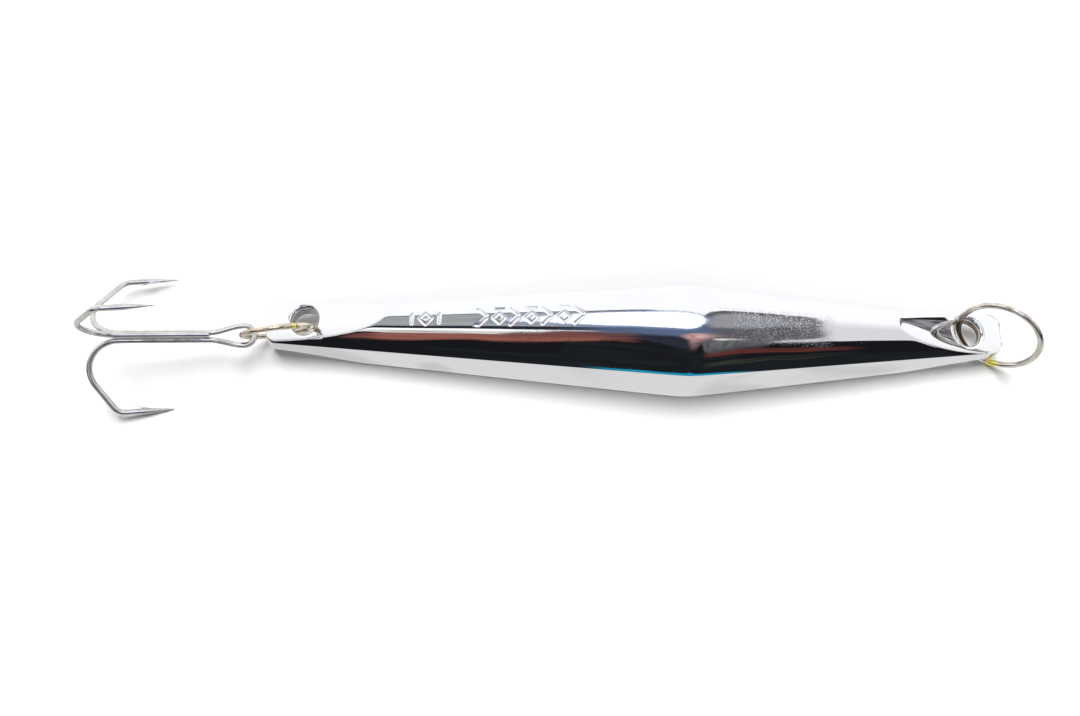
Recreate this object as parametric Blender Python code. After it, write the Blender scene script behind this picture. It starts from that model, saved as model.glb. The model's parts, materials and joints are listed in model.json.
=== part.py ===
"""Plated metal jig lure with a wire line ring, a wire hook ring and a brazed treble hook.

Metres, +Z up. The lure lies on its flat belly: the origin is the middle of that belly, +X runs
along the body to the line ring (the nose), and -X runs to the treble hook (the tail).
"""

import math

import bmesh
import bpy
from mathutils import Matrix, Vector

MM = 0.001

# Body outline, seen from above and from the side
BODY_LENGTH = 120.0 * MM
WIDEST_X = 8.6 * MM  # where the two straight tapers of the body meet
TAPER_ROUNDING = 1.2 * MM  # softens the meeting of the two tapers
RIDGE_HALF_WIDTH = {"tail": 3.5 * MM, "middle": 9.4 * MM, "nose": 3.15 * MM}
RIDGE_HEIGHT = {"tail": 3.9 * MM, "middle": 7.75 * MM, "nose": 3.5 * MM}
WALL_DRAFT = math.radians(10)  # the side wall leans out towards the belly
END_CORNER = 1.6 * MM  # radius of the body's four corners, seen from above
BELLY_EDGE = 0.55 * MM  # size of the broken edge between belly and wall

# Back of the body: a facet at 45 degrees that rolls over into a round crest
FACET_SHARE = 0.51  # the crest's arc spans this share of the half width
CREST_BLEND = 0.35 * MM  # softens where the end tapers cut the crest
END_TOP = {"tail": (4.5 * MM, 0.03, 8.7), "nose": (3.9 * MM, 0.06, 10.5)}  # height, slope, curvature
BELLY_SWEEP = 16.0 * MM  # the belly curves up towards each end over this length
BELLY_LIFT = 1.65 * MM  # height of the belly at the very ends

# Holes through the flattened ends
HOLE_RADIUS = 2.3 * MM
HOLE_RIM = 0.65 * MM  # radius of the rounded rim at each mouth
TAIL_HOLE_X = -53.5 * MM
NOSE_HOLE_X = 54.1 * MM

# Rings: centre, wire radius, ring radius, heading and tilt of the ring's plane
LINE_RING_CENTRE = Vector((58.14, -1.34, 6.55)) * MM
LINE_RING_RADIUS = 6.25 * MM
LINE_RING_WIRE = 0.50 * MM
LINE_RING_HEADING = math.radians(-33.5)
LINE_RING_TILT = math.radians(72.8)
HOOK_RING_CENTRE = Vector((-57.55, -2.19, 5.90)) * MM
HOOK_RING_RADIUS = 5.59 * MM
HOOK_RING_WIRE = 0.48 * MM
HOOK_RING_HEADING = math.radians(9.4)
HOOK_RING_TILT = math.radians(104.9)

# Treble hook, drawn along its own shank: the eye's bow is at zero, the shank runs to -X
HOOK_WIRE = 0.475 * MM
SHANK_SPACING = 1.2 * MM  # between the centres of the wires along the shank
EYE_HALF_WIDTH = 1.65 * MM
EYE_LENGTH = 7.2 * MM
HOOK_BACK = -25.6 * MM  # how far the bends reach
POINT_END = -13.0 * MM
GAPE = 12.9 * MM  # from the shank's axis to the straight part of a point
BIG_BEND = 4.8 * MM
SMALL_BEND = 2.3 * MM
BEND_LEAN = math.radians(57)  # slope of the straight stretch between the two bends
POINT_TAPER = 4.2 * MM
POINT_RADIUS = 0.05 * MM
POINT_MIDDLE = 0.62  # wire left halfway along a point's taper
BARB_LENGTH = 2.2 * MM
BARB_RISE = 0.75 * MM
POINT_SWAY = 0.75 * MM  # the points lean this far to the hook's +Y side at their tips
BARB_FOOT = 1.0 * MM  # length of the barb's root
BARB_WIDTH = 0.32 * MM
BARB_SEAT = 0.05 * MM  # how deep the barb's root sits in the wire
BRAZE_START = -7.6 * MM
BRAZE_END = -18.0 * MM
SINGLE_OVERRUN = 0.6 * MM  # the single wire starts this far beyond the braze
BRAZE_GAP = 0.06 * MM
BRAZE_INSET = 0.10 * MM  # the fillets stay this far inside the wires' outer line
HOOK_BOW = Vector((-61.5, -2.55, 4.72)) * MM
HOOK_YAW = math.radians(4.7)
HOOK_PITCH = math.radians(9.5)
HOOK_ROLL = math.radians(2.2)
HOOK_PIVOT = Vector((-63.08, -2.75, 5.25)) * MM

HALF_LENGTH = BODY_LENGTH / 2


def clear_scene():
    for obj in list(bpy.data.objects):
        bpy.data.objects.remove(obj, do_unlink=True)


def material(name, colour, roughness, metallic):
    made = bpy.data.materials.new(name)
    made.use_nodes = True
    shader = made.node_tree.nodes["Principled BSDF"]
    shader.inputs["Base Color"].default_value = (*colour, 1.0)
    shader.inputs["Roughness"].default_value = roughness
    shader.inputs["Metallic"].default_value = metallic
    return made


def add_object(name, mesh, look, origin=Vector((0, 0, 0)), parent=None):
    """Places a mesh given in world coordinates so that its object's origin is at origin."""
    mesh.transform(Matrix.Translation(-origin))
    mesh.materials.append(look)
    obj = bpy.data.objects.new(name, mesh)
    bpy.context.scene.collection.objects.link(obj)
    if parent:
        obj.parent = parent
        obj.location = origin - parent.location
    else:
        obj.location = origin
    return obj


def add_empty(name, location):
    empty = bpy.data.objects.new(name, None)
    empty.location = location
    bpy.context.scene.collection.objects.link(empty)
    return empty


def finish_mesh(name, bm, smooth_angle=math.radians(30)):
    bmesh.ops.recalc_face_normals(bm, faces=bm.faces)
    mesh = bpy.data.meshes.new(name)
    bm.to_mesh(mesh)
    bm.free()
    mesh.shade_smooth()
    mesh.set_sharp_from_angle(angle=smooth_angle)
    return mesh


def loft(bm, loops):
    """Skins a list of point loops and caps both ends."""
    rings = [[bm.verts.new(point) for point in loop] for loop in loops]
    count = len(rings[0])
    for lower, upper in zip(rings, rings[1:]):
        for i in range(count):
            j = (i + 1) % count
            bm.faces.new((lower[i], lower[j], upper[j], upper[i]))
    bm.faces.new(rings[0][::-1])
    bm.faces.new(rings[-1])


# ---------------------------------------------------------------- body


def taper(x, values):
    """A value that falls in nearly straight lines from the widest station to both ends."""
    end = "nose" if x > WIDEST_X else "tail"
    run = abs(x - WIDEST_X)
    full_run = HALF_LENGTH - WIDEST_X if end == "nose" else HALF_LENGTH + WIDEST_X
    share = math.hypot(run, TAPER_ROUNDING) - TAPER_ROUNDING
    share /= math.hypot(full_run, TAPER_ROUNDING) - TAPER_ROUNDING
    return values["middle"] + (values[end] - values["middle"]) * share


def end_pull_in(x):
    """How far the rounded corners of the two ends pull the sides in."""
    into_corner = abs(x) - (HALF_LENGTH - END_CORNER)
    if into_corner <= 0:
        return 0.0
    return END_CORNER - math.sqrt(max(END_CORNER**2 - into_corner**2, 0.0))


def belly_height(x):
    from_end = HALF_LENGTH - abs(x)
    if from_end >= BELLY_SWEEP:
        return 0.0
    return BELLY_LIFT * (1 - (from_end / BELLY_SWEEP) ** 2) ** 1.5


def end_top_height(x):
    """The sloping top of the flattened end on this side of the widest station."""
    base, slope, curvature = END_TOP["nose" if x > WIDEST_X else "tail"]
    from_end = HALF_LENGTH - abs(x)
    return base + slope * from_end + curvature * from_end**2


def crest_rise(share):
    """Height above the ridge, over the half width, at this share of the half width."""
    arc_radius = FACET_SHARE * math.sqrt(2)
    arc_top = (1 - FACET_SHARE) + arc_radius * (1 - math.cos(math.pi / 4))
    if share > FACET_SHARE:
        return 1 - share
    return arc_top - arc_radius + math.sqrt(arc_radius**2 - share**2)


def soft_min(a, b, width):
    middle = (a + b) / 2
    return middle - math.hypot((a - b) / 2, width / 2)


BACK_SHARES = (1.0, 0.96, 0.88, 0.78, 0.67, 0.56, 0.46, 0.35, 0.24, 0.12)  # where a section has points
RAMP_STATION = 1.9 * MM
RAMP_STATIONS = 10
TURN_STATIONS = (2 * MM, 5 * MM, 10 * MM, 18 * MM)
TAPER_STATION = 6 * MM


def section(x):
    """Half of the body's section at x, from the belly's edge over the ridge to the crest."""
    half_width = taper(x, RIDGE_HALF_WIDTH) - end_pull_in(x)
    ridge = taper(x, RIDGE_HEIGHT)
    belly = belly_height(x)
    foot = half_width + (ridge - belly) * math.tan(WALL_DRAFT)
    near = BELLY_EDGE * (1 - math.cos(math.pi / 4))
    points = [(foot - BELLY_EDGE, belly), (foot - near, belly + near), (foot, belly + BELLY_EDGE)]
    top = end_top_height(x)
    for share in BACK_SHARES:
        rise = ridge + half_width * crest_rise(share)
        height = max(soft_min(rise, top, CREST_BLEND), ridge) if share < 1 else ridge
        points.append((half_width * share, height))
    return points


def body_stations():
    """Where the body's sections stand: close together at the ends, wider apart along the tapers."""
    corner_angles = [math.radians(angle) for angle in (0, 29, 52, 72, 86)]
    corner = [HALF_LENGTH - END_CORNER * (1 - math.sin(angle)) for angle in corner_angles]
    ramp = [HALF_LENGTH - END_CORNER - step * RAMP_STATION for step in range(1, RAMP_STATIONS + 1)]
    ends = [side * x for x in corner + ramp for side in (-1, 1)]
    turn = [WIDEST_X + side * run for run in TURN_STATIONS for side in (-1, 1)]
    tail_taper = [-ramp[-1] + step * TAPER_STATION for step in range(1, 6)]
    return sorted(ends + turn + tail_taper + [WIDEST_X])


def body_mesh():
    bm = bmesh.new()
    loops = []
    for x in body_stations():
        half = section(x)
        left = [Vector((x, y, z)) for y, z in half]
        right = [Vector((x, -y, z)) for y, z in reversed(half)]
        crest = Vector((x, 0, half[-1][1]))
        loops.append(left + [crest] + right)
    loft(bm, loops)
    return finish_mesh("jig_body", bm, math.radians(24))


def hole_cutter(name, x):
    """A pin with flared ends: it cuts a hole whose mouths are rounded."""
    low = belly_height(x)
    high = end_top_height(x)
    flare = []
    for angle in (0, 30, 60, 90):
        turn = math.radians(angle)
        flare.append((HOLE_RADIUS + HOLE_RIM * (1 - math.sin(turn)), HOLE_RIM * (1 - math.cos(turn))))
    beyond = 3 * MM
    profile = [(HOLE_RADIUS + HOLE_RIM * 2, low - beyond)]
    profile += [(radius, low + depth) for radius, depth in flare]
    profile += [(radius, high - depth) for radius, depth in reversed(flare)]
    profile += [(HOLE_RADIUS + HOLE_RIM * 2, high + beyond)]
    sides = 32
    bm = bmesh.new()
    loops = []
    for radius, z in profile:
        turns = [2 * math.pi * i / sides for i in range(sides)]
        loops.append([Vector((x + radius * math.cos(t), radius * math.sin(t), z)) for t in turns])
    loft(bm, loops)
    cutter = bpy.data.objects.new(name, finish_mesh(name, bm))
    bpy.context.scene.collection.objects.link(cutter)
    cutter.hide_render = True
    cutter.display_type = "WIRE"
    return cutter


def cut(obj, cutter):
    boolean = obj.modifiers.new(cutter.name, "BOOLEAN")
    boolean.operation = "DIFFERENCE"
    boolean.object = cutter


def make_body():
    chrome = material("chrome_plate", (0.80, 0.81, 0.83), 0.06, 1.0)
    body = add_object("jig_body", body_mesh(), chrome)
    cut(body, hole_cutter("tail_hole_cutter", TAIL_HOLE_X))
    cut(body, hole_cutter("nose_hole_cutter", NOSE_HOLE_X))


# ---------------------------------------------------------------- wire


def tube(bm, path, radii, sides, closed=False):
    """Sweeps a round wire along a path, with its cross-sections carried along without twist."""
    count = len(path)
    tangents = []
    for i in range(count):
        before = path[i - 1] if i or closed else path[0]
        after = path[(i + 1) % count] if i < count - 1 or closed else path[-1]
        tangents.append((after - before).normalized())
    side = tangents[0].orthogonal().normalized()
    loops = []
    for i, point in enumerate(path):
        side = (side - tangents[i] * side.dot(tangents[i])).normalized()
        across = tangents[i].cross(side)
        turns = [2 * math.pi * k / sides for k in range(sides)]
        loops.append([point + (side * math.cos(t) + across * math.sin(t)) * radii[i] for t in turns])
    if not closed:
        loft(bm, loops)
        return
    rings = [[bm.verts.new(point) for point in loop] for loop in loops]
    for i in range(count):
        lower, upper = rings[i], rings[(i + 1) % count]
        for k in range(sides):
            j = (k + 1) % sides
            bm.faces.new((lower[k], lower[j], upper[j], upper[k]))


def ring_path(centre, radius, heading, tilt, steps):
    level = Vector((math.cos(heading), math.sin(heading), 0))
    rising = Vector((-math.sin(heading) * math.cos(tilt), math.cos(heading) * math.cos(tilt), math.sin(tilt)))
    turns = [2 * math.pi * i / steps for i in range(steps)]
    return [centre + (level * math.cos(t) + rising * math.sin(t)) * radius for t in turns]


def make_ring(name, pivot, centre, radius, wire, heading, tilt, look):
    steps = 48
    bm = bmesh.new()
    # The ring lies in one plane, so the cross-sections carried round it meet without a twist.
    tube(bm, ring_path(centre, radius, heading, tilt, steps), [wire] * steps, 10, closed=True)
    add_object(name, finish_mesh(name, bm, math.radians(60)), look, parent=pivot)


def make_rings():
    nickel = material("nickel_ring_wire", (0.52, 0.47, 0.41), 0.22, 1.0)
    gold = material("brass_ring_wire", (0.72, 0.60, 0.42), 0.20, 1.0)
    nose_axis = add_empty("nose_hole_axis", Vector((NOSE_HOLE_X, 0, 0)))
    tail_axis = add_empty("tail_hole_axis", Vector((TAIL_HOLE_X, 0, 0)))
    make_ring(
        "line_ring",
        nose_axis,
        LINE_RING_CENTRE,
        LINE_RING_RADIUS,
        LINE_RING_WIRE,
        LINE_RING_HEADING,
        LINE_RING_TILT,
        nickel,
    )
    make_ring(
        "hook_ring",
        tail_axis,
        HOOK_RING_CENTRE,
        HOOK_RING_RADIUS,
        HOOK_RING_WIRE,
        HOOK_RING_HEADING,
        HOOK_RING_TILT,
        gold,
    )
    return tail_axis


# ---------------------------------------------------------------- treble hook


def arc(centre, radius, start, end, steps):
    """Points of an arc in the plane of one hook arm, its start left out."""
    angles = [start + (end - start) * i / steps for i in range(1, steps + 1)]
    return [(centre[0] + radius * math.cos(t), centre[1] + radius * math.sin(t)) for t in angles]


def arm_outline(shank_offset):
    """One arm of the hook as (along the shank, out from the shank), from the shank's end to its point."""
    big_centre = (HOOK_BACK + BIG_BEND, shank_offset + BIG_BEND)
    down = -math.pi / 2
    turned = math.pi - BEND_LEAN
    points = [(big_centre[0], shank_offset)]
    points += arc(big_centre, BIG_BEND, down, down - turned, 9)
    small_rise = SMALL_BEND * (1 - math.cos(BEND_LEAN))
    last = points[-1]
    run = (GAPE - small_rise - last[1]) / math.sin(BEND_LEAN)
    corner = (last[0] + run * math.cos(BEND_LEAN), last[1] + run * math.sin(BEND_LEAN))
    small_centre = (corner[0] + SMALL_BEND * math.sin(BEND_LEAN), corner[1] - SMALL_BEND * math.cos(BEND_LEAN))
    points.append(corner)
    points += arc(small_centre, SMALL_BEND, math.pi / 2 + BEND_LEAN, math.pi / 2, 5)
    taper_start = POINT_END - POINT_TAPER
    points += [(taper_start, GAPE), (taper_start + POINT_TAPER / 2, GAPE), (POINT_END, GAPE)]
    return points


def arm_point(along, out, turn):
    """A point of an arm that stands out from the shank at this turn about it, measured from +Z to -Y."""
    return Vector((along, -math.sin(turn) * out, math.cos(turn) * out))


def sway(along, out):
    """How far a place on an arm leans to the side: nothing along the shank, most at the point."""
    offset = SHANK_SPACING / math.sqrt(3)
    rise = (out - offset) / (GAPE - offset)
    return Vector((0, POINT_SWAY * rise * (along - HOOK_BACK) / (POINT_END - HOOK_BACK), 0))


def arm_path(turn):
    outline = arm_outline(SHANK_SPACING / math.sqrt(3))
    return [arm_point(along, out, turn) + sway(along, out) for along, out in outline]


def arm_radii(path):
    radii = [HOOK_WIRE] * len(path)
    radii[-2:] = [HOOK_WIRE * POINT_MIDDLE, POINT_RADIUS]
    return radii


def eye_path(turn_left, turn_right):
    """The eye, from one shank wire round the bow to the other."""
    offset = SHANK_SPACING / math.sqrt(3)
    height = math.cos(turn_left) * offset
    half = abs(math.sin(turn_left)) * offset
    bow_centre = -EYE_HALF_WIDTH
    neck = -EYE_LENGTH
    side = []
    for share in (0.0, 0.2, 0.4, 0.6, 0.8):
        ease = share * share * (3 - 2 * share)
        x = neck + (bow_centre - neck) * share
        side.append((x, half + (EYE_HALF_WIDTH - half) * ease, height * (1 - ease)))
    bow = [
        (bow_centre + EYE_HALF_WIDTH * math.cos(t), EYE_HALF_WIDTH * math.sin(t), 0.0)
        for t in (math.pi / 2 - math.pi * i / 10 for i in range(11))
    ]
    sign = 1 if math.sin(turn_right) < 0 else -1
    near = [Vector((x, -sign * y, z)) for x, y, z in side]
    far = [Vector((x, sign * y, z)) for x, y, z in reversed(side)]
    return near + [Vector((x, -sign * y, z)) for x, y, z in bow] + far


def barb(bm, turn):
    """A sliver raised from the inside of a point, leaning back towards the bend."""
    foot = POINT_END - POINT_TAPER + BARB_FOOT * 0.6
    skin = GAPE - HOOK_WIRE * 0.75
    tip = arm_point(foot - BARB_LENGTH, skin - BARB_RISE, turn) + sway(foot - BARB_LENGTH, GAPE)
    ends = [foot + side * BARB_FOOT / 2 for side in (1, -1)]
    base = [arm_point(end, skin + BARB_SEAT, turn) + sway(end, GAPE) for end in ends]
    across = arm_point(0, 1, turn + math.pi / 2) * BARB_WIDTH / 2
    corners = [base[0] - across, base[0] + across, base[1] + across, base[1] - across]
    loop = [bm.verts.new(corner) for corner in corners]
    top = [bm.verts.new(tip + offset) for offset in (-across * 0.25, across * 0.25)]
    bm.faces.new((loop[0], loop[1], loop[2], loop[3]))
    bm.faces.new((loop[1], loop[0], top[0], top[1]))
    bm.faces.new((loop[3], loop[2], top[1], top[0]))
    bm.faces.new((loop[2], loop[1], top[1]))
    bm.faces.new((loop[0], loop[3], top[0]))


def hook_matrix():
    turn = Matrix.Rotation(HOOK_YAW, 4, "Z") @ Matrix.Rotation(HOOK_PITCH, 4, "Y")
    return Matrix.Translation(HOOK_BOW) @ turn @ Matrix.Rotation(HOOK_ROLL, 4, "X")


def join_barbs(obj, turns):
    for number, turn in enumerate(turns):
        bm = bmesh.new()
        barb(bm, turn)
        mesh = finish_mesh(f"{obj.name}_barb_{number}", bm)
        mesh.transform(hook_matrix())
        piece = bpy.data.objects.new(mesh.name, mesh)
        bpy.context.scene.collection.objects.link(piece)
        piece.hide_render = True
        piece.display_type = "WIRE"
        union = obj.modifiers.new(piece.name, "BOOLEAN")
        union.operation = "UNION"
        union.object = piece


def make_hook(ring_axis):
    steel = material("hook_steel", (0.45, 0.46, 0.47), 0.35, 1.0)
    solder = material("braze_metal", (0.55, 0.54, 0.52), 0.42, 1.0)
    pivot = add_empty("hook_pivot", HOOK_PIVOT - ring_axis.location)
    pivot.parent = ring_axis
    bpy.context.view_layer.update()
    front, back, top = math.radians(120), math.radians(240), 0.0

    def place(name, bm, look):
        mesh = finish_mesh(name, bm, math.radians(60))
        mesh.transform(hook_matrix())
        mesh.transform(Matrix.Translation(-HOOK_PIVOT))
        mesh.materials.append(look)
        obj = bpy.data.objects.new(name, mesh)
        obj.parent = pivot
        bpy.context.scene.collection.objects.link(obj)
        return obj

    bm = bmesh.new()
    first, last = arm_path(front), arm_path(back)
    path = first[::-1] + eye_path(front, back) + last
    radii = arm_radii(first)[::-1] + [HOOK_WIRE] * len(eye_path(front, back)) + arm_radii(last)
    tube(bm, path, radii, 10)
    join_barbs(place("double_hook_wire", bm, steel), (front, back))

    bm = bmesh.new()
    offset = SHANK_SPACING / math.sqrt(3)
    single = [arm_point(BRAZE_START + SINGLE_OVERRUN, offset, top)] + arm_path(top)
    tube(bm, single, [HOOK_WIRE] + arm_radii(arm_path(top)), 10)
    join_barbs(place("single_hook_wire", bm, steel), (top,))

    bm = bmesh.new()
    braze_star(bm, (front, back, top))
    place("shank_braze", bm, solder)


def braze_star(bm, turns):
    """The braze between the three shank wires: a prism whose section is a three-pointed star."""
    offset = SHANK_SPACING / math.sqrt(3)
    hollow = HOOK_WIRE + BRAZE_GAP
    face = offset / 2 + HOOK_WIRE - BRAZE_INSET  # from the shank's axis to a fillet's outer face
    chord = face - offset / 2
    reach = math.acos(chord / hollow)
    loop = []
    for turn in sorted(turns):
        centre = Vector((0, -math.sin(turn) * offset, math.cos(turn) * offset))
        # The hollow round this wire, seen from its centre, spans the side that faces the axis.
        start = turn + math.radians(60) + reach
        end = turn - math.radians(60) - reach + 2 * math.pi
        for i in range(9):
            t = start + (end - start) * i / 8
            loop.append(centre + Vector((0, -math.sin(t), math.cos(t))) * hollow)
    ordered = []
    for k in range(3):
        ordered += loop[9 * k : 9 * k + 9][::-1]
    loft(bm, [[Vector((x, p.y, p.z)) for p in ordered] for x in (BRAZE_END, BRAZE_START)])


def main():
    clear_scene()
    make_body()
    tail_axis = make_rings()
    make_hook(tail_axis)


main()
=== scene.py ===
"""Looks of the plated jig lure: polished body, worn wire rings and a brazed treble hook on a pale table.

Shapes are worked out in millimetres in the frame's own axes: +X is the nose, +Z is up from the flat
belly, and the camera stands on the -Y side.
"""

import json
import math

import bmesh
import bpy
import numpy as np
from mathutils import Matrix, Vector


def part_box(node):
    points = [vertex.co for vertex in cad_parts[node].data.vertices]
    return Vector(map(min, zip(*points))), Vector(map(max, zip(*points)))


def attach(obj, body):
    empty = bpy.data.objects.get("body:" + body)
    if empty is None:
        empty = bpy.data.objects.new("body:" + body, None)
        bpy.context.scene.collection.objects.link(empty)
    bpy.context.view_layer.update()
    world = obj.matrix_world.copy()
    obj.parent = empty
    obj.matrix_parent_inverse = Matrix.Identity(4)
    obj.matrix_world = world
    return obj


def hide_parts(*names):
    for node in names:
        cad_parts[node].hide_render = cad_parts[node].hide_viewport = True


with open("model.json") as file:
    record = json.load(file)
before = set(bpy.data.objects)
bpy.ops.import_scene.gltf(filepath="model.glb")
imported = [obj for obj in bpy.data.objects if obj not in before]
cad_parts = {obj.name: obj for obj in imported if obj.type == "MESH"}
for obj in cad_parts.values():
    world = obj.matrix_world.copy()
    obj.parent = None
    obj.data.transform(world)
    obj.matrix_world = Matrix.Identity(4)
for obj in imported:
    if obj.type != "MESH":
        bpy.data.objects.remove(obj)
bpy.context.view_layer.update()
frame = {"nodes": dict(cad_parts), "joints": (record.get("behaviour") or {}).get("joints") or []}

MM = 0.001
JOINTS = {joint["name"]: joint for joint in frame["joints"]}
TAIL_HOLE_X = JOINTS["hook_ring_swing"]["pos_m"][0] / MM
NOSE_HOLE_X = JOINTS["line_ring_swing"]["pos_m"][0] / MM
HALF_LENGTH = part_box("jig_body")[1][0] / MM
SHARP_ANGLE = math.radians(40)  # faces that meet more steeply keep a crisp edge

# ---- meshes and nodes


def show(obj):
    bpy.context.scene.collection.objects.link(obj)


def mesh_object(name, points, faces, materials, face_material=None, uvs=None):
    """A smooth-shaded mesh from points in millimetres."""
    mesh = bpy.data.meshes.new(name)
    mesh.from_pydata([tuple(float(v) * MM for v in point) for point in points], [], faces)
    for material in materials:
        mesh.materials.append(material)
    if face_material is not None:
        mesh.polygons.foreach_set("material_index", face_material)
    if uvs is not None:
        layer = mesh.uv_layers.new(name="along")
        for polygon, corners in zip(mesh.polygons, uvs):
            for loop, corner in zip(polygon.loop_indices, corners):
                layer.data[loop].uv = corner
    work = bmesh.new()
    work.from_mesh(mesh)
    bmesh.ops.recalc_face_normals(work, faces=work.faces)
    work.to_mesh(mesh)
    work.free()
    mesh.shade_smooth()
    mesh.set_sharp_from_angle(angle=SHARP_ANGLE)
    obj = bpy.data.objects.new(name, mesh)
    show(obj)
    return obj


def band(low, high, around):
    """Faces between two rings of points, numbered from low and from high."""
    return [(low + k, low + (k + 1) % around, high + (k + 1) % around, high + k) for k in range(around)]


class Nodes:
    """Short names for building one material's node tree."""

    def __init__(self, name):
        self.material = bpy.data.materials.new(name)
        self.material.use_nodes = True
        self.tree = self.material.node_tree
        self.shader = self.tree.nodes["Principled BSDF"]
        coordinates = self.tree.nodes.new("ShaderNodeTexCoord")
        self.place = coordinates.outputs["Object"]
        self.uv = coordinates.outputs["UV"]

    def link(self, source, target):
        self.tree.links.new(source, target)

    def add(self, kind, **settings):
        node = self.tree.nodes.new(kind)
        for key, value in settings.items():
            setattr(node, key, value)
        return node

    def put(self, socket, value):
        if hasattr(value, "links"):
            self.link(value, socket)
        else:
            socket.default_value = value

    def math(self, operation, a, b=0.0):
        node = self.add("ShaderNodeMath", operation=operation)
        self.put(node.inputs[0], a)
        self.put(node.inputs[1], b)
        return node.outputs[0]

    def away(self, value, centre):
        """How far a value is from a centre, either way."""
        return self.math("ABSOLUTE", self.math("SUBTRACT", value, centre))

    def scaled(self, scale, source=None, turn=(0, 0, 0)):
        node = self.add("ShaderNodeMapping")
        self.link(source or self.place, node.inputs["Vector"])
        node.inputs["Scale"].default_value = scale
        node.inputs["Rotation"].default_value = turn
        return node.outputs[0]

    def noise(self, scale, detail=3.0, rough=0.55, vector=None, distortion=0.0, cells=1 / MM):
        """Noise with this many cells to the millimetre, or to the unit of another vector."""
        node = self.add("ShaderNodeTexNoise")
        self.link(vector or self.place, node.inputs["Vector"])
        node.inputs["Scale"].default_value = scale * cells
        node.inputs["Detail"].default_value = detail
        node.inputs["Roughness"].default_value = rough
        node.inputs["Distortion"].default_value = distortion
        return node.outputs["Fac"]

    def stretched(self, scale, detail, rough=0.55, source=None, turn=(0, 0, 0)):
        """Noise with its own number of cells to the unit along each axis."""
        return self.noise(1.0, detail, rough, self.scaled(scale, source, turn), cells=1.0)

    def ramp(self, value, low, high, start=0.0, end=1.0):
        """A soft step from start to end while the value goes from low to high."""
        node = self.add("ShaderNodeMapRange", interpolation_type="SMOOTHSTEP")
        sockets = ("Value", "From Min", "From Max", "To Min", "To Max")
        for socket, setting in zip(sockets, (value, low, high, start, end)):
            self.put(node.inputs[socket], setting)
        return node.outputs["Result"]

    def mix(self, factor, a, b):
        node = self.add("ShaderNodeMix", data_type="RGBA")
        self.put(node.inputs["Factor"], factor)
        for socket, value in ((node.inputs[6], a), (node.inputs[7], b)):
            self.put(socket, value if hasattr(value, "links") else (*value, 1.0))
        return node.outputs[2]

    def axes(self, source=None):
        node = self.add("ShaderNodeSeparateXYZ")
        self.link(source or self.place, node.inputs[0])
        return node.outputs

    def bump(self, height, depth, strength):
        """Bumps of this depth in millimetres for heights from 0 to 1."""
        node = self.add("ShaderNodeBump")
        self.link(height, node.inputs["Height"])
        node.inputs["Distance"].default_value = depth * MM
        node.inputs["Strength"].default_value = strength
        if self.shader.inputs["Normal"].is_linked:
            self.link(self.shader.inputs["Normal"].links[0].from_socket, node.inputs["Normal"])
        self.link(node.outputs["Normal"], self.shader.inputs["Normal"])

    def set(self, **values):
        for key, value in values.items():
            socket = self.shader.inputs[key.replace("_", " ").title()]
            if isinstance(value, tuple):
                value = (*value, 1.0)
            self.put(socket, value)

    def glow(self, colour, strength=1.0):
        """Light given off by the surface, in place of the plain shader."""
        self.tree.nodes.remove(self.shader)
        emission = self.add("ShaderNodeEmission")
        self.put(emission.inputs["Color"], colour)
        self.put(emission.inputs["Strength"], strength)
        return emission.outputs[0]

    def surface(self, shading):
        self.link(shading, self.tree.nodes["Material Output"].inputs["Surface"])
        return self.material


# ---- body shape

WIDEST_X = 8.6
RIDGE_ROUNDING = 1.6  # the ridges turn this softly where the body is widest
CREST_ROUNDING = 5.0  # hand polishing has softened the crest's turn more
CREST_SINK = 1.9  # the softened crest sinks by this, over what its softer turn takes off the half width
RIDGE_HALF_WIDTH = {"tail": 3.5, "middle": 9.4, "nose": 3.15}
RIDGE_HEIGHT = {"tail": 3.9, "middle": 7.75, "nose": 3.5}
WALL_DRAFT = math.radians(10)
END_CORNER = 1.6
END_EDGE = 0.32  # radius of the edges round the two end faces
BELLY_EDGE = 0.55
RIDGE_EDGE = 0.32
FACET_SLOPE = math.radians(45)
FACET_SHARE = 0.51  # the facets start at this share of the half width
FACET_CROWN = 0.07  # a facet's slope grows by this much towards the ridge and lessens towards the crest
CREST_BLEND = 0.07  # how softly the crest and the facets turn into the end flats
END_TOP = {  # each end flat's height at the end face, its slope and its curvature
    "tail": (4.38, 0.12, 0.0048),
    "nose": (3.67, 0.115, 0.0087),
}
END_CROWN = 0.022  # the flats round the holes are a little round across the body
BELLY_SWEEP = 16.0
BELLY_LIFT = 1.65
HOLE_RADIUS = 2.3
TOP_RIM = 0.65
BOTTOM_RIM = 0.65
WAVE_HEIGHT = 0.006  # hand polishing leaves the faces this uneven
WAVES = ((0.43, 0.31, 0.6, 1.0), (0.27, -0.55, 2.1, 1.0), (0.91, 0.0, 1.3, 0.6), (-0.17, 1.3, 0.0, 0.5))
WAVE_FADE = 0.25  # the unevenness fades out over this share of the half width before the ridge

TOP_COLUMNS = 101
BELLY_COLUMNS = 17
EDGE_STEPS = 5
WALL_STEPS = 5
HOLE_SIDES = 120


def taper(x, values, softness=RIDGE_ROUNDING):
    """A measure that runs straight from both ends to the widest place and turns softly there."""
    tail_slope = (values["middle"] - values["tail"]) / (HALF_LENGTH + WIDEST_X)
    nose_slope = (values["middle"] - values["nose"]) / (HALF_LENGTH - WIDEST_X)
    from_tail = values["middle"] + tail_slope * (x - WIDEST_X)
    from_nose = values["middle"] - nose_slope * (x - WIDEST_X)
    dip = softness * (tail_slope + nose_slope) / 2
    return (from_tail + from_nose) / 2 - np.hypot((from_tail - from_nose) / 2, dip)


def from_end(x):
    return HALF_LENGTH - np.abs(x)


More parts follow.
